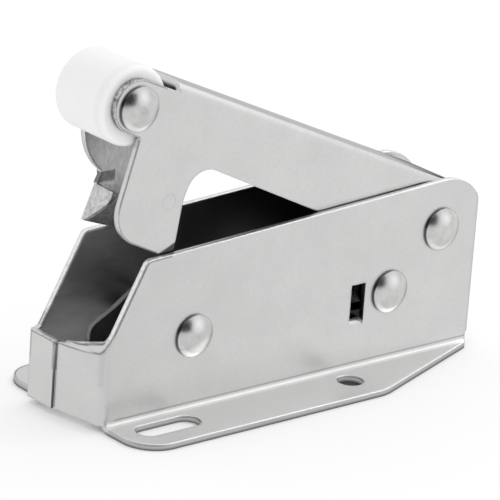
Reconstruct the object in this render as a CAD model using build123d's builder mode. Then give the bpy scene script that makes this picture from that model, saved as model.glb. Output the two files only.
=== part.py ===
from build123d import *
from math import acos, atan, atan2, ceil, cos, degrees, pi, radians, sin, sqrt
import os

os.makedirs("parts", exist_ok=True)

# Touch latch for cabinet flaps: a folded sheet-steel housing that screws down by two flanges,
# and a sprung lever that carries a nylon roller. Pushing the lever down locks it behind an
# index plate, and a second push lets it spring up again.
# Millimetres, +Z up. The origin lies midway between the two round screw holes, on the
# mounting plane. +X points to the lever's pivot end, and -Y is the side with the spring slot.
# Side views are drawn in distances from the front wall and heights above the mounting plane.

# Housing: one folded sheet
sheet = 1.0                # sheet thickness of the housing
length = 80.0              # front wall to rear wall, outside
width = 16.9               # across the side walls, outside
front_height = 12.4        # top edge of the front tabs
tab_foot = 1.1             # bottom edge of the front tabs
rear_foot = 2.3            # bottom edge of the rear wall
rear_top = 21.0            # top edge of the rear wall between the sides
slope_start = 1.15         # where the slanted front edge of a side wall begins
slope_foot_r = 1.5         # hollow corner there
slope_end = 9.1            # where it ends
slope_height = 27.25       # height of the side wall there
rear_height = 30.8         # height that the top edge would reach at the rear wall
rear_corner_r = 8.5        # rounded rear top corner of the side walls
near_fold_r = 1.8          # outer radius of the near front fold
far_fold_r = 0.7           # outer radius of the far front fold
least_fold_r = 0.1         # inner radius of a fold that is tighter than the sheet
rear_fold_r = 2.2          # outer radius of the two rear folds
seam_y = 1.8               # where the two front tabs meet, measured from the middle
seam_gap = 0.15            # gap between the front tabs
near_tab_back = 1.65       # how far the near tab falls back from the seam to its fold
seam_step = 0.35           # how far the far tab stands out at the seam
tab_corner_r = 0.6         # rounded top corners of the tabs at the seam

# Screw flanges
flange_reach = 18.85       # from the middle to the flange's outer edge
flange_front = 2.3         # front end of the flange, from the front wall
flange_rear_gap = 1.4      # rear end of the flange, ahead of the rear wall's outside
flange_bend_r = 0.9        # inner radius of the fold between wall and flange
flange_corner_r = 5.6      # rounded front corner
flange_taper_back = 2.8    # outer edge turns in towards the rear this far behind the hole
flange_tip_reach = 9.1     # reach of the flange at its rear end
flange_tip_r = 2.2         # rounded rear corner
flange_knee_r = 8.0        # soft corner where the taper starts
hole_from_front = 49.2     # round screw holes
hole_reach = 12.9          # screw holes and slots, from the middle
hole_r = 2.2               # round screw hole
slot_middle = 11.4         # middle of the screw slot, from the front wall
slot_length = 12.0         # end to end

# Pins in the side walls, as distance from the front and height
index_pin_x = 19.2
index_pin_z = 13.1
index_pin_r = 1.75
lever_pin_from_rear = 9.25
spring_pin_ahead = 10.45   # spring pin ahead of the lever pin
spring_pin_drop = 9.0      # spring pin below the lever pin
pin_r = 2.0                # shanks of the spring pin, the lever pin and the roller pin
pin_seat = 0.02            # hole clearance where a pin is riveted tight
running_fit = 0.05         # radial clearance where something turns
head_r = 3.64              # rivet heads
index_head_r = 3.55         # heads of the thinner index pin
head_rim = 0.35            # straight edge of a head
head_dome = 1.0            # crown above that edge

# Lanced stops for the spring, one in each side wall
stop_slot_ahead = 8.3      # slot's front edge ahead of the spring pin
stop_slot_width = 3.0
stop_slot_over = 2.45      # slot's upper end above the spring pin
shelf_gap = 0.1            # shelf to the wire that rests on it
stop_bend_r = 1.3          # outer radius of the shelf's fold
shelf_reach = 4.6          # flat part of the shelf

# Lever: one folded sheet, drawn in its closed position and turned up by open_angle
open_angle = 26.3
side_gap = 0.3             # between the lever's sides and the housing's
lever_sheet = 1.0
web_under_roof = 0.43      # top of the web below the housing's top edge, closed
web_over_pin = 7.95         # top of the web above the lever pin
web_front = 5.95           # front end of the web, from the front wall, closed
web_rear_over = 1.0        # how far the web runs past the lever pin
lever_fold_r = 1.8         # outer radius of the two long folds
cheek_step = 1.5          # the lever's cheeks beside the roller stand this much lower
nose_reach = 4.7           # nose ahead of the roller pin
nose_under = 4.1           # nose below the roller pin
nose_r = 4.2               # rounding of the nose
leg_neck = 2.3             # leg's front edge just under the nose, closed
leg_lean = 2.65            # how far that edge runs back down to the foot
leg_toe_r = 5.5            # rounded toe
foot_clear = 0.85          # foot above the mounting plane, closed
heel_x = 18.4              # rear corner of the foot, closed
heel_r = 1.0
waist_x = 15.75            # narrowest place of the leg, closed
waist_z = 10.3
gap_over_index = 3.1      # lever's underside above the index pin, closed
gap_r = 4.0                # rounding of the gap that clears the index pin
under_pin = 4.95           # lever's underside below the lever pin, closed
gap_back = 0.15            # how far the gap's upper corner lies ahead of the waist
foot_slope = 0.1           # the foot's lower edge rises this much to each side of its middle
rear_knee_drop = 7.35      # rear edge turns in to the stop tail this far below the lever pin
tail_neck_drop = 10.45
stop_gap = 0.3             # between the lever's stop tail and the spring pin, open
tail_width = 3.5
tail_under_pin = 2.3       # how far the tail hooks below the spring pin's centre

# Hook: the front of the far leg is folded inwards
hook_top = 6.85            # top edge of the hook, closed
hook_fold_top = 10.15      # fold line at the hook's top edge, closed
hook_fold_foot = 10.65     # fold line at the foot, closed
hook_width = 5.3           # hook's top edge
hook_draw_in = 0.35        # free end, narrower at its knee than at the top
hook_fold_r = 0.5
hook_knee = 4.9            # height of the knee, where the free end runs in to the foot
hook_foot_width = 0.9
far_foot_rise = 0.12       # far leg's foot rises this much per millimetre behind the hook

# Roller and follower stud
roller_ahead = 0.33        # roller pin ahead of the front wall, closed
roller_under_cheek = 4.51  # roller pin below the top edge of the cheeks, closed
roller_r = 6.5
roller_gap = 0.25          # roller to each cheek
roller_edge_r = 0.9
stud_r = 1.25
stud_x = 13.2              # stud in the near leg, closed
stud_z = 9.0
stud_collar_r = 1.6
stud_collar = 0.6
stud_past = 0.2            # stud past the index plate's far face

# Index plate, its tubes and its spring
index_turn = 12.0          # degrees that the plate turns while the lever closes
index_sheet = 1.0
index_mid = 3.15           # middle of the plate, towards the near wall
index_hub_r = 4.1
index_nose = 2.15          # front end of the plate, from the front wall, open
index_nose_top = 15.95
index_shoulder_x = 6.8     # corner in the slanted top edge
index_shoulder_z = 18.35
index_top = 21.75          # upper end of its two fingers
index_top_front = 11.9     # where the slanted top edge reaches that height
index_finger_rear = 17.0   # rear edge of the rear finger
index_foot = 5.8           # lower edge
index_hub_top = 17.2       # where the plate narrows to its hub
track_gap = 0.3            # stud to the sides of its track
pocket_reach = 2.9         # catch pocket ahead of the track's lower end
pocket_rise = 1.0
tube_wall = 1.05           # spacer tubes on the index pin
lever_tube_wall = 1.0      # spacer tube on the lever pin
tube_gap = 0.15            # end play of the tubes and the plate

# Main spring: two coils joined by a loop that presses under the web
wire_r = 0.7
coil_r = 3.0               # to the middle of the wire
coil_pitch = 1.5
spring_side_gap = 0.25     # outer turn to the lever's sides
spring_leg = 10.5          # straight leg that lies on the shelf
web_contact_gap = 0.1      # loop to the web, open
loop_angle = 120.0         # direction of the legs of the loop, open
loop_bend_r = 1.3          # bends of the loop, to the middle of the wire

# Index spring: a light coil beside the plate
light_wire_r = 0.35
light_coil_fit = 0.25      # coil to the tube that it sits on
light_pitch = 0.8
light_coils = 3
light_coil_gap = 0.3       # index plate to the first turn
anchor_x = 26.5            # hole in the far wall that holds the fixed end
anchor_z = 6.5
catch_x = 10.5             # hole in the index plate that holds the moving end, open
catch_z = 7.5
hook_hole_gap = 0.2        # wire end to its hole
light_bend_r = 0.8         # bends of its ends, to the middle of the wire
light_past = 0.3           # moving end past the index plate

# Sizes that follow
front_x = -hole_from_front
half_width = width / 2
inner_half = half_width - sheet
lever_half = inner_half - side_gap
lever_inner = lever_half - lever_sheet
roof_slope = (rear_height - slope_height) / (length - slope_end)
roof_rise = 1 / cos(atan(roof_slope))
lever_pin_x = length - lever_pin_from_rear
lever_pin_z = (
    rear_height - roof_slope * lever_pin_from_rear - web_under_roof - web_over_pin * roof_rise
)
spring_pin_x = lever_pin_x - spring_pin_ahead
spring_pin_z = lever_pin_z - spring_pin_drop
stop_slot_front = spring_pin_x - stop_slot_ahead
stop_slot_top = spring_pin_z + stop_slot_over
stop_shelf_z = spring_pin_z - coil_r - wire_r - shelf_gap
roller_x = -roller_ahead
flange_rear = length - flange_rear_gap
flange_taper_start = hole_from_front + flange_taper_back
head_height = head_rim + head_dome
tube_r = index_pin_r + tube_wall


def side_view(y):
    """Side view at a given Y, seen from the near side: (distance from the front, height)."""
    return Plane(origin=(front_x, y, 0), x_dir=(1, 0, 0), z_dir=(0, -1, 0))


def plan_view(z):
    """Plan view at a given height: (distance from the front, Y)."""
    return Plane(origin=(front_x, 0, z), x_dir=(1, 0, 0), z_dir=(0, 0, 1))


def turning_view(x, z):
    """Half section of a turned piece that lies across the latch: (radius, Y)."""
    return Plane(origin=(front_x + x, 0, z), x_dir=(1, 0, 0), z_dir=(0, 0, 1))


def cross_axis(x, z):
    """Axis across the latch, through a point of the side view."""
    return Axis((front_x + x, 0, z), (0, 1, 0))


def opened(x, z, turn=open_angle):
    """Where a point of the closed lever goes when the lever opens."""
    angle = radians(turn)
    across = x - lever_pin_x
    rise = z - lever_pin_z
    return (
        lever_pin_x + across * cos(angle) + rise * sin(angle),
        lever_pin_z - across * sin(angle) + rise * cos(angle),
    )


def lever_view(y):
    """Side view in which the closed lever is drawn, so that it comes out open."""
    x, z = opened(0, 0)
    along = (cos(radians(open_angle)), 0, -sin(radians(open_angle)))
    return Plane(origin=(front_x + x, y, z), x_dir=along, z_dir=(0, -1, 0))


def outline(*corners, mode=Mode.ADD):
    """Closed outline of straight edges, from corners given as (x, z, corner radius)."""
    with BuildLine(Plane.XY, mode=Mode.PRIVATE) as edge:
        FilletPolyline(
            *[(x, z) for x, z, _ in corners], radius=[r for _, _, r in corners], close=True
        )
    make_face(edge.edges(), mode=mode)


def rivet(shank_r, grip, rim_r):
    """Half section of a pin with a domed head at each end; grip is half the held width."""
    with BuildLine(Plane.XY, mode=Mode.PRIVATE) as edge:
        TangentArc((0, grip + head_height), (rim_r, grip + head_rim), tangent=(1, 0))
        Polyline(
            (rim_r, grip + head_rim), (rim_r, grip), (shank_r, grip), (shank_r, -grip),
            (rim_r, -grip), (rim_r, -grip - head_rim),
        )
        TangentArc((0, -grip - head_height), (rim_r, -grip - head_rim), tangent=(1, 0))
        Line((0, -grip - head_height), (0, grip + head_height))
    make_face(edge.edges())


def web_top(x):
    """Height of the closed lever's web, which runs parallel to the housing's top edge."""
    return lever_pin_z + web_over_pin * roof_rise + roof_slope * (x - lever_pin_x)


def cheek_top(x):
    """Height of the closed lever's cheeks where they have no web between them."""
    return web_top(x) - cheek_step * roof_rise


roller_z = cheek_top(roller_x) - roller_under_cheek

# One screw flange with its fold, drawn for the near side
fold_y = half_width + flange_bend_r
wall_foot = sheet + flange_bend_r
taper = (flange_reach - flange_tip_reach) / (flange_rear - flange_taper_start)
with BuildPart() as flange:
    with BuildSketch(Plane(origin=(front_x + flange_front, 0, 0), x_dir=(0, 1, 0), z_dir=(1, 0, 0))):
        with Locations((-fold_y, wall_foot)):
            Circle(wall_foot)
            Circle(flange_bend_r, mode=Mode.SUBTRACT)
        with Locations((-fold_y, wall_foot)):
            Rectangle(
                2 * wall_foot, wall_foot, align=(Align.CENTER, Align.MIN), mode=Mode.SUBTRACT
            )
            Rectangle(
                wall_foot, 2 * wall_foot, align=(Align.MAX, Align.CENTER), mode=Mode.SUBTRACT
            )
        with Locations((-fold_y, 0)):
            Rectangle(flange_reach - fold_y, sheet, align=(Align.MAX, Align.MIN))
    extrude(amount=flange_rear - flange_front)
    with BuildSketch(plan_view(0)):
        outline(
            (flange_front, 0, 0),
            (flange_front, -flange_reach, flange_corner_r),
            (flange_taper_start, -flange_reach, flange_knee_r),
            (flange_rear, -flange_tip_reach, flange_tip_r),
            (flange_rear, 0, 0),
        )
    extrude(amount=2 * wall_foot, mode=Mode.INTERSECT)
    with BuildSketch(plan_view(0)):
        with Locations((hole_from_front, -hole_reach)):
            Circle(hole_r)
        with Locations((slot_middle, -hole_reach)):
            SlotOverall(slot_length, 2 * hole_r)
    extrude(amount=sheet, mode=Mode.SUBTRACT)

# Housing: walls and front tabs from a folded strip, then the flanges and the spring shelves
tab_slant = near_tab_back / (half_width + seam_y)
tab_depth = sheet / cos(atan(tab_slant))
stop_mid = stop_slot_front + stop_slot_width / 2
with BuildPart() as housing:
    with BuildSketch(plan_view(0)):
        outline(
            (-seam_step, seam_y, 0),
            (-seam_step, half_width, far_fold_r),
            (length, half_width, rear_fold_r),
            (length, -half_width, rear_fold_r),
            (near_tab_back, -half_width, near_fold_r),
            (0, seam_y, 0),
        )
        outline(
            (sheet - seam_step, seam_y, 0),
            (sheet - seam_step, inner_half, max(far_fold_r - sheet, least_fold_r)),
            (length - sheet, inner_half, max(rear_fold_r - sheet, least_fold_r)),
            (length - sheet, -inner_half, max(rear_fold_r - sheet, least_fold_r)),
            (
                tab_slant * (inner_half + seam_y) + tab_depth, -inner_half,
                max(near_fold_r - sheet, least_fold_r),
            ),
            (tab_depth, seam_y, 0),
            mode=Mode.SUBTRACT,
        )
    extrude(amount=rear_height)
    with BuildSketch(side_view(0)):
        outline(
            (-sheet, tab_foot, 0),
            (-sheet, front_height, 0),
            (slope_start, front_height, slope_foot_r),
            (slope_end, slope_height, 1.2),
            (length, rear_height, rear_corner_r),
            (length, rear_foot, 0),
            (flange_rear, rear_foot, 0),
            (flange_rear, wall_foot, 0),
            (flange_front, wall_foot, 0),
            (flange_front, tab_foot, 0),
        )
    extrude(amount=half_width, both=True, mode=Mode.INTERSECT)
    with BuildSketch(plan_view(rear_top)):
        with Locations((length, 0)):
            Rectangle(2 * rear_fold_r, width - 2 * rear_fold_r)
    extrude(amount=rear_height, mode=Mode.SUBTRACT)
    # seam between the front tabs, with the rounded corners of both
    with BuildSketch(Plane(origin=(front_x, 0, 0), x_dir=(0, 1, 0), z_dir=(1, 0, 0))):
        outline(
            (seam_y - seam_gap / 2, 0, 0),
            (seam_y + seam_gap / 2, 0, 0),
            (seam_y + seam_gap / 2, front_height, tab_corner_r),
            (seam_y + 2 * tab_corner_r, front_height, 0),
            (seam_y + 2 * tab_corner_r, front_height + sheet, 0),
            (seam_y - 2 * tab_corner_r, front_height + sheet, 0),
            (seam_y - 2 * tab_corner_r, front_height, 0),
            (seam_y - seam_gap / 2, front_height, tab_corner_r),
        )
    extrude(amount=2 * sheet, both=True, mode=Mode.SUBTRACT)
    # slots that the spring shelves are lanced from
    with BuildSketch(side_view(0)):
        with Locations((stop_mid, stop_shelf_z - stop_bend_r)):
            Rectangle(
                stop_slot_width, stop_slot_top - stop_shelf_z + stop_bend_r,
                align=(Align.CENTER, Align.MIN),
            )
    extrude(amount=half_width, both=True, mode=Mode.SUBTRACT)
    # near shelf: the lanced tongue, folded inwards at the foot of its slot
    shelf_fold_y = half_width - stop_bend_r
    with BuildSketch(
        Plane(origin=(front_x + stop_slot_front, 0, 0), x_dir=(0, 1, 0), z_dir=(1, 0, 0))
    ):
        with Locations((-shelf_fold_y, stop_shelf_z - stop_bend_r)):
            Circle(stop_bend_r)
            Circle(stop_bend_r - sheet, mode=Mode.SUBTRACT)
            Rectangle(
                2 * stop_bend_r, stop_bend_r, align=(Align.CENTER, Align.MAX), mode=Mode.SUBTRACT
            )
            Rectangle(
                stop_bend_r, 2 * stop_bend_r, align=(Align.MIN, Align.CENTER), mode=Mode.SUBTRACT
            )
        with Locations((-shelf_fold_y, stop_shelf_z)):
            Rectangle(shelf_reach, sheet, align=(Align.MIN, Align.MAX))
    shelf = extrude(amount=stop_slot_width)
    mirror(shelf, about=Plane.XZ)
    add(flange.part)
    mirror(flange.part, about=Plane.XZ)
    # holes that hold the three pins
    with BuildSketch(side_view(0)):
        with Locations((index_pin_x, index_pin_z)):
            Circle(index_pin_r + pin_seat)
        with Locations((spring_pin_x, spring_pin_z), (lever_pin_x, lever_pin_z)):
            Circle(pin_r + pin_seat)
    extrude(amount=half_width, both=True, mode=Mode.SUBTRACT)
    # hole in the far wall for the fixed end of the index spring
    with BuildSketch(side_view(half_width)):
        with Locations((anchor_x, anchor_z)):
            Circle(light_wire_r + hook_hole_gap)
    extrude(amount=sheet, mode=Mode.SUBTRACT)
housing.part.label = "housing"

# Lever: two side plates, the web that joins them, and the hook on the far side
pin_from_open = opened(spring_pin_x, spring_pin_z, -open_angle)
tail_front = pin_from_open[0] + pin_r + stop_gap
tail_foot = pin_from_open[1] - tail_under_pin
tail_rear = tail_front + tail_width
nose_x = roller_x - nose_reach
nose_foot = roller_z - nose_under
plate_rear = lever_pin_x + web_over_pin - cheek_step
toe_x = leg_neck + leg_lean
plate = [
    (nose_x, cheek_top(nose_x), nose_r),
    (plate_rear, cheek_top(plate_rear), web_over_pin - cheek_step),
    (plate_rear, lever_pin_z - rear_knee_drop, 5.0),
    (tail_rear, lever_pin_z - tail_neck_drop, 1.5),
    (tail_rear, tail_foot, 1.5),
    (tail_front, tail_foot, 1.2),
    (tail_front, lever_pin_z - under_pin, 3.0),
    (waist_x - gap_back, index_pin_z + gap_over_index, gap_r),
    (waist_x, waist_z, 10.0),
    (heel_x, foot_clear + heel_r, 0.5),
    (heel_x + 0.1, foot_clear + foot_slope, 0.6),
    (toe_x, foot_clear - foot_slope, leg_toe_r),
    (leg_neck, nose_foot, 0.3),
    (nose_x, nose_foot, nose_r),
]
web_length = (lever_pin_x + web_rear_over - web_front) / cos(atan(roof_slope))
web_angle = radians(open_angle) - atan(roof_slope)
web_start = opened(web_front, web_top(web_front))
web_view = Plane(
    origin=(front_x + web_start[0], 0, web_start[1]),
    x_dir=(0, 1, 0),
    z_dir=(cos(web_angle), 0, -sin(web_angle)),
)
with BuildPart() as lever:
    # near plate, then the far plate, whose leg ends at the hook's fold
    with BuildSketch(lever_view(-lever_inner)):
        outline(*plate)
    extrude(amount=lever_sheet)
    with BuildSketch(lever_view(lever_half)):
        outline(*plate)
        with BuildLine():
            ThreePointArc(
                (leg_neck, nose_foot), (leg_neck + 2.7, nose_foot - 4.65),
                (hook_fold_top - 0.54, hook_top + 2.25),
            )
            Polyline(
                (hook_fold_top - 0.54, hook_top + 2.25), (hook_fold_top, hook_top + 1.45),
                (hook_fold_top, hook_top), (hook_fold_foot, 0), (hook_fold_foot, -sheet),
                (nose_x, -sheet), (nose_x, nose_foot), (leg_neck, nose_foot),
            )
        make_face(mode=Mode.SUBTRACT)
        far_foot_back = heel_x - hook_fold_foot + lever_sheet
        outline(
            (hook_fold_foot, -sheet, 0),
            (hook_fold_foot, foot_clear, 0),
            (hook_fold_foot + far_foot_back, foot_clear + far_foot_rise * far_foot_back, 0),
            (hook_fold_foot + far_foot_back, -sheet, 0),
            mode=Mode.SUBTRACT,
        )
    extrude(amount=lever_sheet)
    # room for the web's folds, and then the web
    web_skirt = lever_fold_r + cheek_step
    with BuildSketch(web_view):
        Rectangle(2 * lever_half, 2 * web_skirt)
    extrude(amount=web_length, mode=Mode.SUBTRACT)
    with BuildSketch(web_view):
        outline(
            (-lever_half, -web_skirt, 0),
            (-lever_half, 0, lever_fold_r - 0.001),
            (lever_half, 0, lever_fold_r - 0.001),
            (lever_half, -web_skirt, 0),
            (lever_inner, -web_skirt, 0),
            (lever_inner, -lever_sheet, lever_fold_r - lever_sheet - 0.001),
            (-lever_inner, -lever_sheet, lever_fold_r - lever_sheet - 0.001),
            (-lever_inner, -web_skirt, 0),
        )
    extrude(amount=web_length)
    # hook across the mouth, folded in from the far plate
    hook_foot = opened(hook_fold_foot, 0)
    hook_lean = radians(open_angle) - atan2(hook_fold_foot - hook_fold_top, hook_top)
    hook_tall = sqrt(hook_top**2 + (hook_fold_foot - hook_fold_top) ** 2)
    with BuildSketch(Plane(
        origin=(front_x + hook_foot[0], lever_half, hook_foot[1]),
        x_dir=(0, -1, 0),
        z_dir=(-cos(hook_lean), 0, sin(hook_lean)),
    )):
        outline(
            (0, foot_clear, 0),
            (0, hook_tall, 0),
            (hook_width, hook_tall, 0.5),
            (hook_width - hook_draw_in, hook_knee, 3.0),
            (hook_foot_width, foot_clear, 0.3),
        )
    extrude(amount=-lever_sheet)
    with BuildSketch(Plane(
        origin=(front_x + hook_foot[0], lever_half, hook_foot[1]),
        x_dir=(0, -1, 0),
        z_dir=(sin(hook_lean), 0, cos(hook_lean)),
    )):
        Rectangle(hook_fold_r, hook_fold_r, align=(Align.MIN, Align.MIN))
        with Locations((hook_fold_r, hook_fold_r)):
            Circle(hook_fold_r, mode=Mode.SUBTRACT)
    extrude(amount=hook_tall, mode=Mode.SUBTRACT)
    # holes for the lever pin, the roller pin and the stud
    with BuildSketch(lever_view(0)):
        with Locations((lever_pin_x, lever_pin_z)):
            Circle(pin_r + running_fit)
        with Locations((roller_x, roller_z)):
            Circle(pin_r + pin_seat)
    extrude(amount=lever_half, both=True, mode=Mode.SUBTRACT)
    with BuildSketch(lever_view(-lever_inner)):
        with Locations((stud_x, stud_z)):
            Circle(stud_r + pin_seat)
    extrude(amount=lever_sheet, mode=Mode.SUBTRACT)
lever.part.label = "lever"

# Roller between the cheeks, on its riveted pin
roller_at = opened(roller_x, roller_z)
roller_half = lever_inner - roller_gap
with BuildPart() as roller:
    with BuildSketch(turning_view(*roller_at)):
        outline(
            (pin_r + running_fit, -roller_half, 0),
            (roller_r, -roller_half, roller_edge_r),
            (roller_r, roller_half, roller_edge_r),
            (pin_r + running_fit, roller_half, 0),
        )
    revolve(axis=cross_axis(*roller_at))
roller.part.label = "roller"

with BuildPart() as roller_pin:
    with BuildSketch(turning_view(*roller_at)):
        rivet(pin_r, lever_half, head_r)
    revolve(axis=cross_axis(*roller_at))
roller_pin.part.label = "roller_pin"

# Lever pin with the tube that keeps the lever's sides apart
with BuildPart() as lever_pin:
    with BuildSketch(turning_view(lever_pin_x, lever_pin_z)):
        rivet(pin_r, half_width, head_r)
    revolve(axis=cross_axis(lever_pin_x, lever_pin_z))
lever_pin.part.label = "lever_pin"

with BuildPart() as lever_pin_sleeve:
    with BuildSketch(side_view(-lever_inner + tube_gap)):
        with Locations((lever_pin_x, lever_pin_z)):
            Circle(pin_r + running_fit + lever_tube_wall)
            Circle(pin_r + running_fit, mode=Mode.SUBTRACT)
    extrude(amount=-2 * (lever_inner - tube_gap))
lever_pin_sleeve.part.label = "lever_pin_sleeve"

# Spring pin
with BuildPart() as spring_pin:
    with BuildSketch(turning_view(spring_pin_x, spring_pin_z)):
        rivet(pin_r, half_width, head_r)
    revolve(axis=cross_axis(spring_pin_x, spring_pin_z))
spring_pin.part.label = "spring_pin"

# Index pin, with a tube on each side of the index plate
with BuildPart() as index_pin:
    with BuildSketch(turning_view(index_pin_x, index_pin_z)):
        rivet(index_pin_r, half_width, index_head_r)
    revolve(axis=cross_axis(index_pin_x, index_pin_z))
index_pin.part.label = "index_pin"

plate_near = -index_mid - index_sheet / 2
plate_far = -index_mid + index_sheet / 2
with BuildPart() as pawl_spacer_near:
    with BuildSketch(side_view(plate_near - tube_gap)):
        with Locations((index_pin_x, index_pin_z)):
            Circle(tube_r)
            Circle(index_pin_r + running_fit, mode=Mode.SUBTRACT)
    extrude(amount=inner_half + plate_near - tube_gap)
pawl_spacer_near.part.label = "pawl_spacer_near"

with BuildPart() as pawl_spacer_far:
    with BuildSketch(side_view(plate_far + tube_gap)):
        with Locations((index_pin_x, index_pin_z)):
            Circle(tube_r)
            Circle(index_pin_r + running_fit, mode=Mode.SUBTRACT)
    extrude(amount=-(inner_half - plate_far - tube_gap))
pawl_spacer_far.part.label = "pawl_spacer_far"

# Follower stud in the near leg: it runs in the index plate's track
stud_at = opened(stud_x, stud_z)
with BuildPart() as follower_stud:
    with BuildSketch(turning_view(*stud_at)):
        outline(
            (0, -lever_half, 0),
            (stud_r, -lever_half, 0),
            (stud_r, -lever_inner, 0),
            (stud_collar_r, -lever_inner, 0),
            (stud_collar_r, -lever_inner + stud_collar, 0),
            (stud_r, -lever_inner + stud_collar, 0),
            (stud_r, plate_far + stud_past, 0.2),
            (0, plate_far + stud_past, 0),
        )
    revolve(axis=cross_axis(*stud_at))
follower_stud.part.label = "follower_stud"


def stud_in_plate(share):
    """Stud as the index plate sees it, when the lever has closed by this share."""
    x, z = opened(stud_x, stud_z, open_angle * (1 - share))
    back = radians(index_turn * share)
    across = x - index_pin_x
    rise = z - index_pin_z
    return (
        index_pin_x + across * cos(back) + rise * sin(back),
        index_pin_z - across * sin(back) + rise * cos(back),
    )


# Index plate: an open track for the stud, with the catch pocket at its lower end
track_end = stud_in_plate(1)
pocket = (track_end[0] - pocket_reach, track_end[1] + pocket_rise)
track = ThreePointArc(stud_in_plate(0.4), stud_in_plate(0.72), track_end)
with BuildPart() as index_pawl:
    with BuildSketch(side_view(plate_far)):
        outline(
            (index_nose, index_nose_top, 2.5),
            (index_shoulder_x, index_shoulder_z, 3.0),
            (index_top_front, index_top, 0.8),
            (index_finger_rear, index_top, 1.2),
            (index_finger_rear + 2.9, index_hub_top, 3.0),
            (index_pin_x + index_hub_r, index_pin_z, 2.0),
            (index_pin_x + 0.5, index_pin_z - index_hub_r - 1.2, 3.0),
            (index_pin_x - 4.0, index_foot, 2.0),
            (index_nose + 3.7, index_foot, 2.5),
            (index_nose, index_foot + 3.1, 1.5),
        )
        with Locations((index_pin_x, index_pin_z)):
            Circle(index_hub_r)
            Circle(index_pin_r + running_fit, mode=Mode.SUBTRACT)
        SlotArc(track, 2 * (stud_r + track_gap), mode=Mode.SUBTRACT)
        with Locations((
            (track_end[0] + pocket[0]) / 2, (track_end[1] + pocket[1]) / 2,
        )):
            SlotCenterToCenter(
                sqrt(pocket_reach**2 + pocket_rise**2), 2 * (stud_r + track_gap),
                rotation=degrees(atan2(-pocket_rise, pocket_reach)), mode=Mode.SUBTRACT,
            )
        with Locations((catch_x, catch_z)):
            Circle(light_wire_r + hook_hole_gap, mode=Mode.SUBTRACT)
    extrude(amount=index_sheet)
index_pawl.part.label = "index_pawl"

# Main spring: one half is modelled, from the leg on the shelf to the middle of the loop
coil_near = -lever_inner + spring_side_gap + wire_r
coil_span = coil_pitch * (2 + loop_angle / 360)
coil_end = radians(loop_angle - 90)
loop_start = Vector(
    front_x + spring_pin_x + coil_r * cos(coil_end),
    coil_near + coil_span,
    spring_pin_z + coil_r * sin(coil_end),
)
loop_way = Vector(cos(radians(loop_angle)), 0, sin(radians(loop_angle)))
web_normal = Vector(sin(web_angle), 0, cos(web_angle))
web_gap = (web_view.origin - loop_start).dot(web_normal) - lever_sheet - web_contact_gap - wire_r
loop_end = loop_start + loop_way * (web_gap / loop_way.dot(web_normal))
leg_end = Vector(front_x + spring_pin_x - spring_leg, coil_near, spring_pin_z - coil_r)
coil_start = Vector(front_x + spring_pin_x, coil_near, spring_pin_z - coil_r)


def turns(x, z, radius, first_angle, last_angle, first_y, last_y):
    """Smooth coil across the latch; both ends run on straight, square to the latch's width."""
    steps = ceil(abs(last_angle - first_angle) / radians(30))
    points = []
    for step in range(steps + 1):
        share = step / steps
        angle = first_angle + (last_angle - first_angle) * share
        y = first_y + (last_y - first_y) * share
        points.append((front_x + x + radius * cos(angle), y, z + radius * sin(angle)))
    Spline(
        *points,
        tangents=(
            (-sin(first_angle), 0, cos(first_angle)), (-sin(last_angle), 0, cos(last_angle)),
        ),
        tangent_scalars=(1, 1),
    )


def bend(before, corner, after, radius):
    """Straight wire to a square corner, and the bend round it; returns the bend's end."""
    into = (corner - before).normalized()
    start = corner - into * radius
    end = corner + (after - corner).normalized() * radius
    Line(before, start)
    TangentArc(start, end, tangent=into)
    return end


with BuildPart() as main_spring:
    with BuildLine() as wire:
        Line(leg_end, coil_start)
        turns(
            spring_pin_x, spring_pin_z, coil_r, radians(-90), radians(630 + loop_angle),
            coil_near, coil_near + coil_span,
        )
        loop_mid = Vector(loop_end.X, 0, loop_end.Z)
        Line(bend(loop_start, loop_end, loop_mid, loop_bend_r), loop_mid)
        mirror(about=Plane.XZ)
    with BuildSketch(Plane(origin=leg_end, z_dir=(1, 0, 0))):
        Circle(wire_r)
    sweep(path=wire.line)
main_spring.part.label = "main_spring"

# Index spring: a light coil on the far tube; one end turns with the plate, one is held
light_r = tube_r + light_coil_fit + light_wire_r


def leaving_angle(x, z, side):
    """Angle on the light coil at which a straight wire leaves for a point of the side view."""
    across = x - index_pin_x
    rise = z - index_pin_z
    return atan2(rise, across) + side * acos(light_r / sqrt(across**2 + rise**2))


catch_angle = leaving_angle(catch_x, catch_z, 1)
anchor_angle = leaving_angle(anchor_x, anchor_z, -1)
light_turns = light_coils + (anchor_angle - catch_angle) / (2 * pi)
light_near = plate_far + light_coil_gap + light_wire_r
light_far = light_near + light_pitch * light_turns
catch_leg = Vector(
    front_x + index_pin_x + light_r * cos(catch_angle), light_near,
    index_pin_z + light_r * sin(catch_angle),
)
anchor_leg = Vector(
    front_x + index_pin_x + light_r * cos(anchor_angle), light_far,
    index_pin_z + light_r * sin(anchor_angle),
)
catch_end = Vector(front_x + catch_x, light_near, catch_z)
anchor_end = Vector(front_x + anchor_x, light_far, anchor_z)
catch_tip = Vector(catch_end.X, plate_near - light_past, catch_end.Z)
anchor_tip = Vector(anchor_end.X, half_width - 0.1, anchor_end.Z)
with BuildPart() as pawl_spring:
    with BuildLine() as light_wire:
        Line(bend(catch_tip, catch_end, catch_leg, light_bend_r), catch_leg)
        turns(
            index_pin_x, index_pin_z, light_r, catch_angle, catch_angle + 2 * pi * light_turns,
            light_near, light_far,
        )
        Line(bend(anchor_leg, anchor_end, anchor_tip, light_bend_r), anchor_tip)
    with BuildSketch(Plane(origin=catch_tip, z_dir=(0, 1, 0))):
        Circle(light_wire_r)
    sweep(path=light_wire.line)
pawl_spring.part.label = "pawl_spring"

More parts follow.
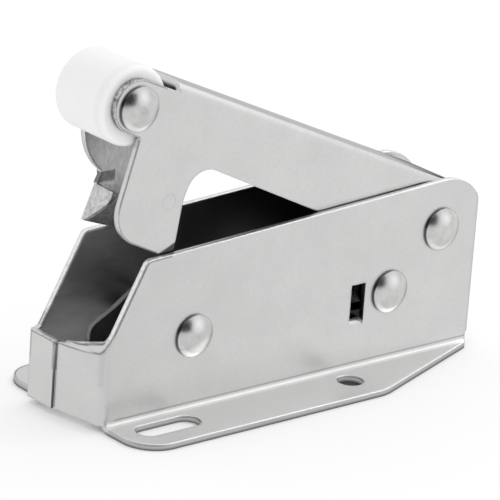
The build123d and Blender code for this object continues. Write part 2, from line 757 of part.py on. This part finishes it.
export_step(housing.part, "parts/housing.step")
export_step(lever.part, "parts/lever.step")
export_step(roller.part, "parts/roller.step")
export_step(roller_pin.part, "parts/roller_pin.step")
export_step(lever_pin.part, "parts/lever_pin.step")
export_step(lever_pin_sleeve.part, "parts/lever_pin_sleeve.step")
export_step(spring_pin.part, "parts/spring_pin.step")
export_step(main_spring.part, "parts/main_spring.step")
export_step(index_pin.part, "parts/index_pin.step")
export_step(index_pawl.part, "parts/index_pawl.step")
export_step(pawl_spring.part, "parts/pawl_spring.step")
export_step(pawl_spacer_near.part, "parts/pawl_spacer_near.step")
export_step(pawl_spacer_far.part, "parts/pawl_spacer_far.step")
export_step(follower_stud.part, "parts/follower_stud.step")
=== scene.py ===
import math

import bpy
from mathutils import Matrix, Vector

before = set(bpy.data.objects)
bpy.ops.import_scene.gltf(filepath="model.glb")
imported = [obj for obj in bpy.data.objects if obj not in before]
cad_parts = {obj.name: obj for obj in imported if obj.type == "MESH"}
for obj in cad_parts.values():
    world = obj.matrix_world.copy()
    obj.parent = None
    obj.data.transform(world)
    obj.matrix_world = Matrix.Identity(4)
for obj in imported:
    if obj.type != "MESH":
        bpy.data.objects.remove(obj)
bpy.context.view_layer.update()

# Photographer's table: a white sweep under the latch and white all round it, which the
# plating mirrors. Only the soft shadow tells the ground from the background.
MM = 0.001
screw_hole_reach = 12.9 * MM    # screw holes, from the middle; they lie abreast of the origin
screw_hole_shade = 2.3 * MM     # the paper lies in shade this far round their axes
screw_hole_fade = 0.3 * MM
bpy.context.scene.view_settings.view_transform = "Standard"


class Socket:
    """A shader socket that takes Python arithmetic, and adds a Math node for each step."""

    def __init__(self, tree, link):
        self.tree = tree
        self.link = link

    def output(self, name):
        """Another output of the node that this socket belongs to."""
        return Socket(self.tree, self.link.node.outputs[name])

    def join(self, operation, first, second=0.0):
        return self.tree.node("ShaderNodeMath", {"operation": operation}, {0: first, 1: second})

    def __add__(self, other):
        return self.join("ADD", self, other)

    __radd__ = __add__

    def __mul__(self, other):
        return self.join("MULTIPLY", self, other)

    __rmul__ = __mul__

    def __sub__(self, other):
        return self.join("SUBTRACT", self, other)

    def __rsub__(self, other):
        return self.join("SUBTRACT", other, self)

    def __gt__(self, other):
        return self.join("GREATER_THAN", self, other)

    def __lt__(self, other):
        return self.join("LESS_THAN", self, other)

    def __abs__(self):
        return self.join("ABSOLUTE", self)

    def root(self):
        return self.join("SQRT", self)

    def clamp(self):
        return self.tree.node(
            "ShaderNodeClamp", {"clamp_type": "MINMAX"}, {0: self, 1: 0.0, 2: 1.0}
        )

    def rise(self, low, high):
        """0 up to low, 1 from high on, and an even slope between them."""
        return ((self - low) * (1.0 / (high - low))).clamp()

    def within(self, low, high, soft):
        """1 between low and high, fading to 0 over a soft margin on both sides."""
        return self.rise(low - soft, low) * self.rise(high + soft, high)


def apart(across, along):
    """How far a spot lies from an axis, from its distances in the two other directions."""
    return (across * across + along * along).root()


class Finish:
    """The shader nodes of one material or of the world."""

    def __init__(self, name, owner=None):
        self.material = owner or bpy.data.materials.new(name)
        self.material.use_nodes = True
        self.nodes = self.material.node_tree.nodes
        self.links = self.material.node_tree.links
        self.nodes.clear()

    def node(self, kind, settings=None, inputs=None, output=0):
        """Adds a node: its settings first, then the values or links of its sockets."""
        made = self.nodes.new(kind)
        for name, value in (settings or {}).items():
            setattr(made, name, value)
        for name, value in (inputs or {}).items():
            socket = made.inputs[name]
            if isinstance(value, Socket):
                self.links.new(value.link, socket)
            else:
                socket.default_value = value
        return None if output is None else Socket(self, made.outputs[output])

    def parts(self, vector):
        """x, y and z of a vector."""
        split = self.node("ShaderNodeSeparateXYZ", {}, {0: vector})
        return [split.output(letter) for letter in "XYZ"]

    def place(self):
        """x, y and z of the surface in the latch's own frame, in metres."""
        return self.parts(self.node("ShaderNodeTexCoord", output="Object"))

    def facing(self):
        """x, y and z of the surface's own normal."""
        return self.parts(self.node("ShaderNodeNewGeometry", output="True Normal"))

    def noise(self, size, detail=3.0, rough=0.55, stretch=(1.0, 1.0, 1.0), seed=0.0):
        """Smooth noise from 0 to 1 whose spots are about size metres wide."""
        at = self.node("ShaderNodeTexCoord", output="Object")
        at = self.node("ShaderNodeMapping", {}, {"Vector": at, "Scale": stretch})
        return self.node(
            "ShaderNodeTexNoise", {"noise_dimensions": "4D"},
            {"Vector": at, "Scale": 1.0 / size, "Detail": detail, "Roughness": rough, "W": seed},
        )

    def tint(self, share, first, second):
        """Colour that goes from first to second as share goes from 0 to 1."""
        pick = lambda c: c if isinstance(c, Socket) else (*c, 1.0)
        return self.node(
            "ShaderNodeMix", {"data_type": "RGBA"}, {0: share, 6: pick(first), 7: pick(second)},
            output=2,
        )

    def rolled_edge(self, radius):
        """Normal with every sharp edge rounded, and how near each spot lies to an edge."""
        rounded = self.node("ShaderNodeBevel", {"samples": 6}, {"Radius": radius})
        flat = self.node("ShaderNodeNewGeometry", output="Normal")
        along = self.node(
            "ShaderNodeVectorMath", {"operation": "DOT_PRODUCT"}, {0: rounded, 1: flat}, output=1
        )
        return rounded, ((1.0 - along) * 3.4).clamp()

    def done(self, surface, end="ShaderNodeOutputMaterial"):
        self.node(end, {}, {"Surface": surface}, output=None)
        return self.material


world = bpy.data.worlds.new("studio_white")
bpy.context.scene.world = world
sky = Finish("", world)
ray = sky.node("ShaderNodeLightPath")
seen = ray.output("Is Camera Ray") + ray.output("Is Glossy Ray")
seen = (seen + ray.output("Is Transmission Ray")).clamp()
white = sky.node("ShaderNodeBackground", {}, {"Color": (1, 1, 1, 1), "Strength": 1.0})
soft = sky.node("ShaderNodeBackground", {}, {"Color": (1, 1, 1, 1), "Strength": 0.88})
sky.done(
    sky.node("ShaderNodeMixShader", {}, {0: seen, 1: soft, 2: white}), "ShaderNodeOutputWorld"
)

bpy.ops.object.select_all(action="DESELECT")
bpy.ops.mesh.primitive_plane_add(size=3.0, location=(0, 0, -0.05 * MM))
ground = bpy.context.object
ground.name = "ground"
bpy.ops.object.transform_apply(location=True)
paper = Finish("white_paper")
x, y, z = paper.place()
# Painted shade: the paper under each screw hole is painted near black, and its glow is taken off
# there.
painted_hole_shade = apart(x, abs(y) - screw_hole_reach)
painted_hole_shade = painted_hole_shade.rise(screw_hole_shade + screw_hole_fade, screw_hole_shade)
lit = paper.node(
    "ShaderNodeBsdfPrincipled", {},
    {
        "Base Color": paper.tint(painted_hole_shade, (1.0, 1.0, 1.0), (0.09, 0.09, 0.09)),
        "Roughness": 0.9, "Specular IOR Level": 0.1,
    },
)
ray = paper.node("ShaderNodeLightPath")
mirrored = (ray.output("Is Glossy Ray") + ray.output("Is Transmission Ray")).clamp()
shut_in = paper.node("ShaderNodeAmbientOcclusion", {"samples": 8}, {"Distance": 4 * MM}, 1)
glare = ray.output("Is Camera Ray") * 0.55 * shut_in.rise(0.42, 0.92)
glare = glare * (1.0 - painted_hole_shade)
share = (glare + mirrored * 0.85).clamp()
glow = paper.node("ShaderNodeEmission", {}, {"Color": (1, 1, 1, 1), "Strength": 1.0})
ground.data.materials.append(
    paper.done(paper.node("ShaderNodeMixShader", {}, {0: share, 1: lit, 2: glow}))
)


# Studio light: one large soft box, high behind the far side. The plating mirrors it as the
# bright lines along its sheared edges and folds, and the shadow falls to the lower left.
def soft_box(name, azimuth, height, size, watts, away):
    """Lamp at an azimuth and height in degrees as seen from the latch, aimed at it."""
    turn, rise = math.radians(azimuth), math.radians(height)
    way = Vector((math.cos(turn) * math.cos(rise), math.sin(turn) * math.cos(rise), math.sin(rise)))
    bpy.ops.object.light_add(type="AREA", location=way * away + Vector((0, 0, 0.02)))
    lamp = bpy.context.object
    lamp.name = name
    lamp.data.shape = "SQUARE"
    lamp.data.size = size
    lamp.data.energy = watts
    lamp.visible_camera = False
    lamp.rotation_mode = "QUATERNION"
    lamp.rotation_quaternion = way.to_track_quat("Z", "Y")


soft_box("overhead_box", azimuth=-5, height=56, size=0.70, watts=1.6, away=0.75)

# Dark cloth behind the camera: the plating mirrors it as the dark lines along the edges
# that face the lens, and as the dark crescents on the rivets. The camera never sees it.
cloth_way = Vector((-0.72, -0.69, 0.36)).normalized()
cloth_away = 0.9
cloth_width, cloth_height = 2.9, 0.85
bpy.ops.object.select_all(action="DESELECT")
bpy.ops.mesh.primitive_plane_add(size=1.0)
cloth = bpy.context.object
cloth.name = "dark_cloth"
cloth.matrix_world = (
    Matrix.Translation(cloth_way * cloth_away)
    @ cloth_way.to_track_quat("Z", "Y").to_matrix().to_4x4()
    @ Matrix.Diagonal((cloth_width, cloth_height, 1.0, 1.0))
)
bpy.ops.object.transform_apply(location=True, rotation=True, scale=True)
black = Finish("black_cloth")
cloth.data.materials.append(black.done(black.node(
    "ShaderNodeEmission", {}, {"Color": (0.02, 0.02, 0.02, 1), "Strength": 1.0}
)))
cloth.visible_camera = False
cloth.visible_diffuse = False
cloth.visible_shadow = False
cloth.visible_transmission = False

# Camera: a long lens ahead of the near side and a little above the latch. It is rolled a
# few degrees, so that the uprights lean as they do in the photograph.
camera_at = Vector((-410.17, -453.73, 237.57)) * MM
camera_aim = Vector((-10.39, 2.1, 20.5)) * MM
camera_roll = math.radians(4.24)
bpy.ops.object.camera_add(location=camera_at)
camera = bpy.context.object
camera.name = "photo_camera"
camera.data.sensor_width = 36.0
camera.data.lens = 288.0
camera.data.clip_start = 0.05
camera.data.clip_end = 10.0
camera.data.dof.use_dof = False
look = (camera_aim - camera_at).to_track_quat("-Z", "Y")
camera.rotation_mode = "QUATERNION"
camera.rotation_quaternion = look @ Matrix.Rotation(camera_roll, 3, "Z").to_quaternion()
bpy.context.scene.camera = camera


# Housing: one piece of cold-rolled sheet steel, blanked, folded and then barrel plated with
# bright nickel. Shearing leaves the edges rolled over; the inside gets painted shade.
nickel = (0.76, 0.76, 0.755)
tab_back = -46.8 * MM       # the front tabs and their folds lie ahead of this
slant_front = -46.0 * MM    # the walls' slanted edges, with the first of their top edges
slant_back = -35.5 * MM
slant_foot = 7.5 * MM
wall_inside = 7.45 * MM     # inner faces of the side walls, from the middle
rear_inside = 29.8 * MM     # inner face of the rear wall
flange_top = 1.0 * MM
flange_from = 9.0 * MM      # the flanges' flat stretch, from the middle
slot_front, slot_back = 2.8 * MM, 5.8 * MM    # slot that the spring shelf is lanced from
slot_foot, slot_top = 9.1 * MM, 15.4 * MM
slot_margin = 0.2 * MM
sheared_face = 0.5          # normals flatter than this belong to the sheet's edges
broad_face = 0.7            # and steeper than this to its broad faces


def plated(name, tone, roughness, edge=0.45 * MM, sheared=None, shade=None):
    """Nickel over sheet steel: faint clouds and rolling grain, with a painted highlight along
    the very edge and a painted dark reflection beside it on the broad faces."""
    skin = Finish(name)
    clouds = skin.noise(8 * MM, 4.0, 0.6)
    fine = skin.noise(0.5 * MM, 3.0, 0.65, seed=3.1)
    pits = skin.noise(0.28 * MM, 2.0, 0.7, seed=7.7)
    waves = skin.noise(3.5 * MM, 2.0, 0.5, seed=1.3)
    rounded, near_edge = skin.rolled_edge(edge)
    broad, plain = sheared(skin) if sheared else (1.0, 1.0)
    near_edge = near_edge * plain
    if isinstance(plain, Socket):
        flat = skin.node("ShaderNodeNewGeometry", output="Normal")
        rounded = skin.node(
            "ShaderNodeMix", {"data_type": "VECTOR"}, {0: plain, 4: flat, 5: rounded}, output=1
        )
    dull = tuple(c * 0.86 for c in tone)
    dark = tuple(c * 0.15 for c in tone)
    bright = tuple(min(1.0, c * 1.28) for c in tone)
    colour = skin.tint((clouds - 0.35) * 1.6 + (fine - 0.5) * 1.4, dull, tone)
    # Painted dark reflection: a broken dark band beside the edges on the broad faces.
    dark_reflection_band = near_edge.within(0.025, 0.62, 0.02) * broad
    patchy_reflection = fine.rise(0.2, 0.5) * 0.5 + clouds.rise(0.25, 0.5) * 0.5
    colour = skin.tint(dark_reflection_band * patchy_reflection, colour, dark)
    # Painted highlight: a bright line along the very edge.
    colour = skin.tint(near_edge.rise(0.6, 0.8) * fine.rise(0.32, 0.5), colour, bright)
    if shade:
        for share, other in shade(skin):
            colour = skin.tint(share.clamp(), colour, other)
    rough = (clouds - 0.5) * 0.10 + (fine - 0.5) * 0.10 + roughness
    height = pits * 0.4 + fine * 0.6 + waves * 3.0
    bump = skin.node(
        "ShaderNodeBump", {},
        {"Strength": 0.4, "Distance": 0.02 * MM, "Height": height, "Normal": rounded},
    )
    return skin.done(skin.node(
        "ShaderNodeBsdfPrincipled", {},
        {
            "Base Color": colour, "Metallic": 1.0, "Roughness": rough.clamp(), "Normal": bump,
            "Specular Tint": (0.6, 0.6, 0.6, 1),
        },
    ))


def dress(node, finish):
    """Gives a CAD node its finish, in place of every material that it has."""
    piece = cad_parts[node]
    piece.data.materials.clear()
    piece.data.materials.append(finish)


def housing_faces(skin):
    """1 where the painted dark reflection goes: the outer faces beside the front edges and the
    flange rims; no bare spots.
    """
    x, y, z = skin.place()
    facing = skin.facing()
    front = (abs(facing[1]) > broad_face) * (x > slant_front) * (x < slant_back)
    front = front * (z > slant_foot)
    lip = (abs(facing[0]) > broad_face) * (x < tab_back) * (z > slant_foot + 0.1 * MM)
    rims = (abs(facing[2]) > broad_face) * (z < flange_top + 0.06 * MM)
    return (front + lip + rims).clamp(), 1.0


def housing_shade(skin):
    """Painted shade on the inner faces, darker towards the rear, in the near wall's slot, along the
    fold and the foot; painted highlights on the upturned edges and the near flange's top; grey
    sheared faces on the flanges.
    """
    x, y, z = skin.place()
    facing = skin.facing()
    sideways = abs(facing[2]) < sheared_face
    # Painted shade on the inner faces: a streaked grey that darkens towards the rear and the
    # bottom.
    inside = y.within(-wall_inside - 0.03 * MM, wall_inside + 0.03 * MM, 0.02 * MM)
    inside = inside * (x < rear_inside + 0.02 * MM)
    deep = (abs(y) < wall_inside - 0.1 * MM) * (x > tab_back + 0.1 * MM)
    inside = inside * (1.0 - (x < tab_back) * (facing[0] < -0.02)) * (sideways + deep).clamp()
    inside = inside * (1.0 - x.rise(20 * MM, 22 * MM) * z.rise(25.5 * MM, 27.5 * MM))
    streaks = skin.noise(5 * MM, 4.0, 0.6, (0.5, 1.0, 1.6), 4.4)
    forward = x.rise(-20 * MM, -44 * MM)
    light = (streaks.rise(0.35, 0.75) * 0.5 + 0.85) * forward * z.rise(6 * MM, 21 * MM)
    light = light + x.rise(-14 * MM, -24 * MM) * 0.12 + 0.03
    light = light + z.rise(14 * MM, 18 * MM) * x.rise(-32 * MM, -14 * MM) * 0.15
    grey = skin.node("ShaderNodeCombineColor", {}, {0: light, 1: light, 2: light})
    sheared = sideways * (z < flange_top + 0.02 * MM) * (abs(y) > flange_from + 0.4 * MM)
    # Painted highlight: the near flange's top is painted brighter.
    near_flange_sheen = (facing[2] > sheared_face) * (z < flange_top + 0.05 * MM) * (y < -flange_from)
    # Painted shade in the near wall's slot, on its sides and top.
    slot = x.within(slot_front - slot_margin, slot_back + slot_margin, 0.1 * MM)
    slot = slot * z.within(slot_foot - slot_margin, slot_top + slot_margin, 0.1 * MM)
    slot = slot * (y < -wall_inside + 0.05 * MM) * (abs(facing[1]) < sheared_face)
    slot = slot * (facing[2] < sheared_face)
    specks = skin.noise(0.6 * MM, 3.0, 0.7, seed=6.0).rise(0.3, 0.55)
    # Painted highlight on the upturned sheared edges of the walls, broken up by specks.
    upturned_edge_sheen = (abs(facing[1]) < sheared_face) * (facing[2] > 0.1) * (z > slant_foot)
    upturned_edge_sheen = upturned_edge_sheen * specks * (x > tab_back + 0.3 * MM)
    # Painted shade along the fold between the near wall and its flange.
    crease_shade = z.within(1.75 * MM, 1.85 * MM, 0.12 * MM) * (y < -8.0 * MM) * (x > -45 * MM)
    # Painted shade along the foot, where the sheet meets the ground.
    foot_shade = z.rise(0.5 * MM, 0.12 * MM) * (facing[2] < sheared_face)
    return [
        (upturned_edge_sheen * 0.9, (0.95, 0.95, 0.945)),
        (crease_shade * 0.5, (0.2, 0.2, 0.2)),
        (inside, grey),
        (sheared * 0.4, (0.25, 0.25, 0.25)),
        (near_flange_sheen, (0.98, 0.98, 0.975)),
        (slot, (0.1, 0.1, 0.1)),
        (foot_shade * 0.7, (0.06, 0.06, 0.06)),
    ]


dress("housing", plated(
    "bright_nickel_sheet", nickel, 0.4, 0.6 * MM, housing_faces, housing_shade,
))


# Lever: a second sheet piece, folded into a channel. The front of its far leg is bent across
# the mouth as the hook; its sheared edges are rough and took the plating badly.
stud_x, stud_z = -35.78 * MM, 35.84 * MM    # axis of the stud in the near leg
stud_plain = 2.2 * MM                       # no edge shows this far round it
leg_outside = -6.9 * MM                     # the near leg's outer face lies beyond this
lever_inside = 6.25 * MM                    # the lever's inner faces lie within this
# The painted dark reflection beside the front edges reaches back as far as leg_dark_back.
leg_dark_back = -37.5 * MM                  # the front edges have a dark line as far as this
hook_back = -36.0 * MM
hook_top = 37.2 * MM
hook_torn_from = 34.6 * MM
# Shade is painted along the near leg's lower edge, next to the housing's top edge.
heel_slope = 0.43                           # the near leg's lower edge, which is dark
heel_line = 43.45 * MM
cheek_foot = 47 * MM


def lever_faces(skin):
    """1 on the sheet's broad faces; no edge where the stud is ground flush with the leg."""
    x, y, z = skin.place()
    facing = skin.facing()
    stud_end = (apart(x - stud_x, z - stud_z) < stud_plain) * (y < leg_outside)
    return (abs(facing[1]) > broad_face) * (x < leg_dark_back), (1.0 - stud_end).clamp()


def lever_shade(skin):
    """Painted shade on the inner faces, deep inside, on the near heel and on the upward faces, and
    torn dark spots on the hook.
    """
    x, y, z = skin.place()
    facing = skin.facing()
    # Painted shade on the inner faces, with streaks.
    inside = (abs(y) < lever_inside) * ((abs(facing[1]) > 0.5) + (facing[2] < -0.3)).clamp()
    streaks = skin.noise(0.5 * MM, 4.0, 0.75, (1.0, 1.0, 0.45), 2.2)
    hook = (y > 0.8 * MM) * (y < 7.3 * MM) * (x < hook_back) * (z < hook_top)
    spots = skin.noise(0.8 * MM, 5.0, 0.8, seed=5.0).rise(0.42, 0.72)
    torn = skin.noise(0.7 * MM, 3.0, 0.7, seed=8.0)
    rim = (z - torn * 1.2 * MM).rise(hook_torn_from, hook_torn_from + 0.4 * MM)
    # Painted shade on the near leg's heel.
    heel_shade = (z - x * heel_slope).rise(heel_line + 0.3 * MM, heel_line)
    heel_shade = heel_shade * (x < -32 * MM) * (y < -7.0 * MM)
    # Painted shade deep inside the housing.
    deep = (abs(y) < lever_inside) * x.rise(-30 * MM, -18 * MM) * z.rise(34 * MM, 30 * MM)
    cheek = (x < -39 * MM) * (z > cheek_foot) * (abs(facing[1]) < 0.5) * (facing[0] < 0.2)
    # Painted shade: the upward faces are painted darker.
    upward_shade = facing[2].rise(0.75, 0.9)
    return [
        (upward_shade * 0.75, (0.5, 0.5, 0.495)),
        (inside * (streaks.rise(0.3, 0.7) * 0.5 + 0.2) * (1.0 - hook), (0.28, 0.28, 0.28)),
        (hook * spots * 0.7, (0.12, 0.12, 0.12)),
        (hook * rim * 0.7, (0.05, 0.05, 0.05)),
        (deep * 0.95, (0.03, 0.03, 0.03)),
        (heel_shade * 0.9, (0.03, 0.03, 0.03)),
        (cheek * torn.rise(0.45, 0.6) * 0.8, (0.08, 0.08, 0.08)),
    ]


lever_finish = plated("bright_nickel_lever", nickel, 0.36, sheared=lever_faces, shade=lever_shade)
dress("lever", lever_finish)

# Follower stud: turned pin, riveted flush with the near leg and ground before plating, so
# that its end hardly shows on the outside. It runs in the index plate's track.
dress("follower_stud", lever_finish)

# Index plate: stamped from the same sheet and plated dull, on two plain tubes that keep it
# in its place on the index pin. The lever pin carries a third tube.
inner_finish = plated("dull_nickel_plate", (0.2, 0.2, 0.198), 0.4, edge=0.25 * MM)
dress("index_pawl", inner_finish)
for tube in ("lever_pin_sleeve", "pawl_spacer_near", "pawl_spacer_far"):
    dress(tube, inner_finish)

# Pins: turned steel, pushed through the sheet and riveted, so that both heads are smooth
# crowns with a faint tool mark in the middle; painted shade in the gap under the rim, and painted
# highlights.
heads_from = 7.0 * MM    # what lies nearer the middle is the pin's shank, in the dark


def riveted(name, x_mm, z_mm, reach_mm, mark_share):
    """Finish of one pin, from the place of its axis and the radius of its heads."""
    skin = Finish(name)
    x, y, z = skin.place()
    aside = x - x_mm * MM
    above = z - z_mm * MM
    out = apart(aside, above)
    fine = skin.noise(0.45 * MM, 3.0, 0.6, seed=3.0)
    clouds = skin.noise(1.6 * MM, 3.0, 0.6, seed=x_mm)
    mark = out.rise(0.9 * MM, 0.3 * MM) * fine.rise(0.45, 0.6) * mark_share
    rim = out.rise((reach_mm - 0.14) * MM, (reach_mm - 0.02) * MM)
    # Painted shade on the upper left of the rim, and painted highlights: a glint above the middle
    # and a bright band on the lower crown.
    shaded_side = (above * 0.5 - aside).rise(-0.5 * MM, 2.2 * MM)
    over = apart(aside, above - 2.1 * MM)
    under = out.within((reach_mm - 0.75) * MM, (reach_mm - 0.3) * MM, 0.2 * MM)
    under = under * above.rise(-0.8 * MM, -2.4 * MM)
    glint = (over.rise(1.5 * MM, 0.3 * MM) * 0.6 + under * 0.45).clamp()
    rounded, near_edge = skin.rolled_edge(0.25 * MM)
    colour = skin.tint((clouds - 0.3) * 1.5, (0.52, 0.52, 0.516), (0.72, 0.72, 0.715))
    colour = skin.tint(mark * 0.35, colour, (0.25, 0.25, 0.25))
    colour = skin.tint(glint, colour, (0.98, 0.98, 0.975))
    colour = skin.tint(rim * shaded_side * 0.85, colour, (0.08, 0.08, 0.08))
    # Painted shade: the shank, nearer the middle than heads_from, is painted near black.
    colour = skin.tint(abs(y) < heads_from, colour, (0.02, 0.02, 0.02))
    bump = skin.node(
        "ShaderNodeBump", {},
        {
            "Strength": 0.12, "Distance": 0.02 * MM, "Normal": rounded,
            "Height": fine * 0.5 + clouds * 1.2,
        },
    )
    return skin.done(skin.node(
        "ShaderNodeBsdfPrincipled", {},
        {
            "Base Color": colour, "Metallic": 1.0, "Normal": bump,
            "Roughness": (clouds - 0.5) * 0.16 + 0.24,
        },
    ))


dress("roller_pin", riveted("rivet_of_roller", -42.886, 51.996, 3.64, 1.0))
dress("lever_pin", riveted("rivet_of_lever", 21.55, 21.947, 3.64, 0.3))
dress("spring_pin", riveted("rivet_of_spring", 11.1, 12.947, 3.64, 0.3))
dress("index_pin", riveted("rivet_of_index_plate", -30.0, 13.1, 3.55, 1.0))

# Springs: hard-drawn wire, wound cold, painted near black as shade for the dark inside. The strong
# one sits on the spring pin under the lever, the light one beside the index plate.
shaded_wire_finish = plated("spring_wire", (0.04, 0.04, 0.04), 0.5, edge=0.05 * MM)
dress("main_spring", shaded_wire_finish)
dress("pawl_spring", shaded_wire_finish)

# Roller: moulded white nylon, which lets a little light in. It turns on its pin between the
# lever's two cheeks, with painted shade on top and close to the near cheek.
nylon_low, nylon_high = (0.94, 0.94, 0.935), (0.965, 0.965, 0.96)
nylon = Finish("white_nylon")
faint = nylon.noise(2.5 * MM, 3.0, 0.5)
skin_height = nylon.noise(0.25 * MM, 2.0, 0.6, seed=2.0)
nylon_bump = nylon.node(
    "ShaderNodeBump", {}, {"Strength": 0.1, "Distance": 0.02 * MM, "Height": skin_height}
)
turned = nylon.node("ShaderNodeNewGeometry", output="Normal")
upward = nylon.node(
    "ShaderNodeVectorMath", {"operation": "DOT_PRODUCT"}, {0: turned, 1: (0.0, 0.0, 1.0)}, output=1
)
x, y, z = nylon.place()
# Painted shade: darker close to the near cheek and on the upward faces.
cheek_shade = y.within(-5.2 * MM, -4.6 * MM, 0.8 * MM)
tone = nylon.tint(faint, nylon_low, nylon_high)
tone = nylon.tint(upward.rise(0.25, 0.95), tone, (0.89, 0.89, 0.885))
tone = nylon.tint(cheek_shade * 0.3, tone, (0.74, 0.74, 0.735))
nylon_skin = nylon.node(
    "ShaderNodeBsdfPrincipled", {"subsurface_method": "RANDOM_WALK"},
    {
        "Base Color": tone,
        "Roughness": faint * 0.08 + 0.36,
        "Normal": nylon_bump,
        "Subsurface Weight": 0.35,
        "Subsurface Radius": (1.0, 1.0, 0.95),
        "Subsurface Scale": 1.2 * MM,
        "Specular IOR Level": 0.45,
    },
)
dress("roller", nylon.done(nylon_skin))
